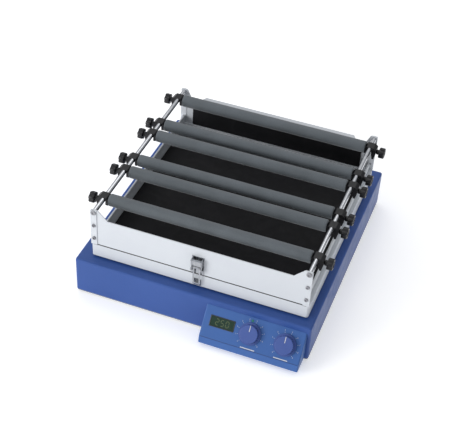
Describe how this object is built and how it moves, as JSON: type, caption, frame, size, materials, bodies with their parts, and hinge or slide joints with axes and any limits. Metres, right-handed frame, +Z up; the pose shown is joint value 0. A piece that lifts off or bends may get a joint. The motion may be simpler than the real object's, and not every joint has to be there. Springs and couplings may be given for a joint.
{
  "type": "reciprocal shaker",
  "caption": "Flat bench shaker whose platform slides left and right, with a low tray, cross rollers clamped on two rods, and a sloped control panel",
  "frame": {"origin": "on the bench, under the middle of the whole machine, with the platform 6 mm right of mid-stroke", "axes": "+X along the stroke to the right, +Y to the back, +Z up"},
  "size_m": [0.5146, 0.5887, 0.2165],
  "materials": {
    "blue_housing": "satin, fine texture",
    "blue_panel": "satin",
    "blue_dial": "satin",
    "plate_steel": "zinc plated",
    "shaft_steel": "ground",
    "rod_chrome": "polished",
    "screw_steel": "bright",
    "latch_steel": "nickel plated",
    "cast_alloy": "machined",
    "tray_white": "satin white",
    "mat_rubber": "matte",
    "foot_rubber": "matte",
    "belt_rubber": "matte",
    "foam_grey": "closed-cell foam",
    "clamp_black": "satin",
    "knob_black": "satin",
    "display_glass": "glossy",
    "led_green": "diffused",
    "board_green": "lacquered",
    "inlet_black": "satin",
    "rocker_black": "gloss",
    "motor_case": "black enamel"
  },
  "bodies": {
    "base": {"base_housing": "blue_housing", "bottom_plate": "plate_steel", "rubber_feet": "foot_rubber", "housing_screws": "screw_steel", "control_panel": "blue_panel", "display_window": "display_glass", "control_board": "board_green", "status_led": "led_green", "mains_inlet": "inlet_black", "power_supply": "plate_steel", "guide_shafts": "shaft_steel", "shaft_supports": "cast_alloy", "crank_bearings": "shaft_steel", "motor": "motor_case", "drive_bracket": "plate_steel", "drive_belt": "belt_rubber"},
    "platform": {"carriage": "cast_alloy", "linear_bearings": "cast_alloy", "platform_tray": "tray_white", "tray_mat": "mat_rubber", "front_end_plate": "tray_white", "back_end_plate": "tray_white", "side_walls": "tray_white", "guide_rods": "rod_chrome", "frame_screws": "screw_steel", "latch_plates": "latch_steel"},
    "crank": {"crank_shaft": "shaft_steel", "crank_pulley": "cast_alloy"},
    "motor_rotor": {"motor_pulley": "shaft_steel"},
    "speed_dial": {"speed_knob": "blue_dial"},
    "timer_dial": {"timer_knob": "blue_dial"},
    "switch_rocker": {"power_rocker": "rocker_black"},
    "front_lever": {"front_latch_lever": "latch_steel"},
    "front_loop": {"front_latch_loop": "latch_steel"},
    "back_lever": {"back_latch_lever": "latch_steel"},
    "back_loop": {"back_latch_loop": "latch_steel"},
    "roller_1": {"foam_sleeve_1": "foam_grey", "roller_carrier_1": "clamp_black"},
    "left_clamp_knob_1": {"left_knob_1": "knob_black"},
    "right_clamp_knob_1": {"right_knob_1": "knob_black"},
    "roller_2": {"foam_sleeve_2": "foam_grey", "roller_carrier_2": "clamp_black"},
    "left_clamp_knob_2": {"left_knob_2": "knob_black"},
    "right_clamp_knob_2": {"right_knob_2": "knob_black"},
    "roller_3": {"foam_sleeve_3": "foam_grey", "roller_carrier_3": "clamp_black"},
    "left_clamp_knob_3": {"left_knob_3": "knob_black"},
    "right_clamp_knob_3": {"right_knob_3": "knob_black"},
    "roller_4": {"foam_sleeve_4": "foam_grey", "roller_carrier_4": "clamp_black"},
    "left_clamp_knob_4": {"left_knob_4": "knob_black"},
    "right_clamp_knob_4": {"right_knob_4": "knob_black"},
    "roller_5": {"foam_sleeve_5": "foam_grey", "roller_carrier_5": "clamp_black"},
    "left_clamp_knob_5": {"left_knob_5": "knob_black"},
    "right_clamp_knob_5": {"right_knob_5": "knob_black"},
    "roller_6": {"foam_sleeve_6": "foam_grey", "roller_carrier_6": "clamp_black"},
    "left_clamp_knob_6": {"left_knob_6": "knob_black"},
    "right_clamp_knob_6": {"right_knob_6": "knob_black"}
  },
  "joints": [
    {"name": "platform_slide", "type": "slide", "parent": "base", "child": "platform", "axis": [1, 0, 0], "range_m": [-0.021, 0.009]},
    {"name": "crank_spin", "type": "hinge", "parent": "base", "child": "crank", "pos_m": [-0.00475, 0.00895, 0.035], "axis": [0, 0, 1], "continuous": true},
    {"name": "motor_spin", "type": "hinge", "parent": "base", "child": "motor_rotor", "pos_m": [-0.19475, 0.00895, 0.035], "axis": [0, 0, 1], "continuous": true},
    {"name": "speed_dial_turn", "type": "hinge", "parent": "base", "child": "speed_dial", "pos_m": [0.13125, -0.27055, 0.04994], "axis": [0, -0.7779, 0.6283], "range_deg": [-270, 0]},
    {"name": "timer_dial_turn", "type": "hinge", "parent": "base", "child": "timer_dial", "pos_m": [0.20425, -0.27086, 0.04955], "axis": [0, -0.7779, 0.6283], "range_deg": [-270, 0]},
    {"name": "power_rocker_tilt", "type": "hinge", "parent": "base", "child": "switch_rocker", "pos_m": [0.12625, 0.28755, 0.044], "axis": [1, 0, 0], "range_deg": [0, 14]},
    {"name": "front_lever_swing", "type": "hinge", "parent": "platform", "child": "front_lever", "pos_m": [0.00125, -0.2326, 0.14], "axis": [1, 0, 0], "range_deg": [0, 130]},
    {"name": "front_loop_swing", "type": "hinge", "parent": "front_lever", "child": "front_loop", "pos_m": [0.00125, -0.2326, 0.146], "axis": [1, 0, 0], "range_deg": [-130, 0]},
    {"name": "back_lever_swing", "type": "hinge", "parent": "platform", "child": "back_lever", "pos_m": [0.00125, 0.2505, 0.14], "axis": [-1, 0, 0], "range_deg": [0, 130]},
    {"name": "back_loop_swing", "type": "hinge", "parent": "back_lever", "child": "back_loop", "pos_m": [0.00125, 0.2505, 0.146], "axis": [-1, 0, 0], "range_deg": [-130, 0]},
    {"name": "roller_1_slide", "type": "slide", "parent": "platform", "child": "roller_1", "axis": [0, 1, 0], "range_m": [-0.033, 0.036]},
    {"name": "left_knob_1_turn", "type": "hinge", "parent": "roller_1", "child": "left_clamp_knob_1", "pos_m": [-0.24875, -0.1746, 0.1985], "axis": [-1, 0, 0], "range_deg": [0, 540]},
    {"name": "right_knob_1_turn", "type": "hinge", "parent": "roller_1", "child": "right_clamp_knob_1", "pos_m": [0.25125, -0.1746, 0.1985], "axis": [1, 0, 0], "range_deg": [0, 540]},
    {"name": "roller_2_slide", "type": "slide", "parent": "platform", "child": "roller_2", "axis": [0, 1, 0], "range_m": [-0.036, 0.008]},
    {"name": "left_knob_2_turn", "type": "hinge", "parent": "roller_2", "child": "left_clamp_knob_2", "pos_m": [-0.24875, -0.0751, 0.1985], "axis": [-1, 0, 0], "range_deg": [0, 540]},
    {"name": "right_knob_2_turn", "type": "hinge", "parent": "roller_2", "child": "right_clamp_knob_2", "pos_m": [0.25125, -0.0751, 0.1985], "axis": [1, 0, 0], "range_deg": [0, 540]},
    {"name": "roller_3_slide", "type": "slide", "parent": "platform", "child": "roller_3", "axis": [0, 1, 0], "range_m": [-0.008, 0.0345]},
    {"name": "left_knob_3_turn", "type": "hinge", "parent": "roller_3", "child": "left_clamp_knob_3", "pos_m": [-0.24875, -0.0321, 0.1985], "axis": [-1, 0, 0], "range_deg": [0, 540]},
    {"name": "right_knob_3_turn", "type": "hinge", "parent": "roller_3", "child": "right_clamp_knob_3", "pos_m": [0.25125, -0.0321, 0.1985], "axis": [1, 0, 0], "range_deg": [0, 540]},
    {"name": "roller_4_slide", "type": "slide", "parent": "platform", "child": "roller_4", "axis": [0, 1, 0], "range_m": [-0.0345, 0.008]},
    {"name": "left_knob_4_turn", "type": "hinge", "parent": "roller_4", "child": "left_clamp_knob_4", "pos_m": [-0.24875, 0.0639, 0.1985], "axis": [-1, 0, 0], "range_deg": [0, 540]},
    {"name": "right_knob_4_turn", "type": "hinge", "parent": "roller_4", "child": "right_clamp_knob_4", "pos_m": [0.25125, 0.0639, 0.1985], "axis": [1, 0, 0], "range_deg": [0, 540]},
    {"name": "roller_5_slide", "type": "slide", "parent": "platform", "child": "roller_5", "axis": [0, 1, 0], "range_m": [-0.008, 0.0385]},
    {"name": "left_knob_5_turn", "type": "hinge", "parent": "roller_5", "child": "left_clamp_knob_5", "pos_m": [-0.24875, 0.1074, 0.1985], "axis": [-1, 0, 0], "range_deg": [0, 540]},
    {"name": "right_knob_5_turn", "type": "hinge", "parent": "roller_5", "child": "right_clamp_knob_5", "pos_m": [0.25125, 0.1074, 0.1985], "axis": [1, 0, 0], "range_deg": [0, 540]},
    {"name": "roller_6_slide", "type": "slide", "parent": "platform", "child": "roller_6", "axis": [0, 1, 0], "range_m": [-0.0385, 0.014]},
    {"name": "left_knob_6_turn", "type": "hinge", "parent": "roller_6", "child": "left_clamp_knob_6", "pos_m": [-0.24875, 0.2114, 0.1985], "axis": [-1, 0, 0], "range_deg": [0, 540]},
    {"name": "right_knob_6_turn", "type": "hinge", "parent": "roller_6", "child": "right_clamp_knob_6", "pos_m": [0.25125, 0.2114, 0.1985], "axis": [1, 0, 0], "range_deg": [0, 540]}
  ],
  "couplings": [
    {"joint": "motor_spin", "follows": "crank_spin", "ratio": 3.9286},
    {"joint": "front_loop_swing", "follows": "front_lever_swing", "ratio": -1},
    {"joint": "back_loop_swing", "follows": "back_lever_swing", "ratio": -1}
  ]
}
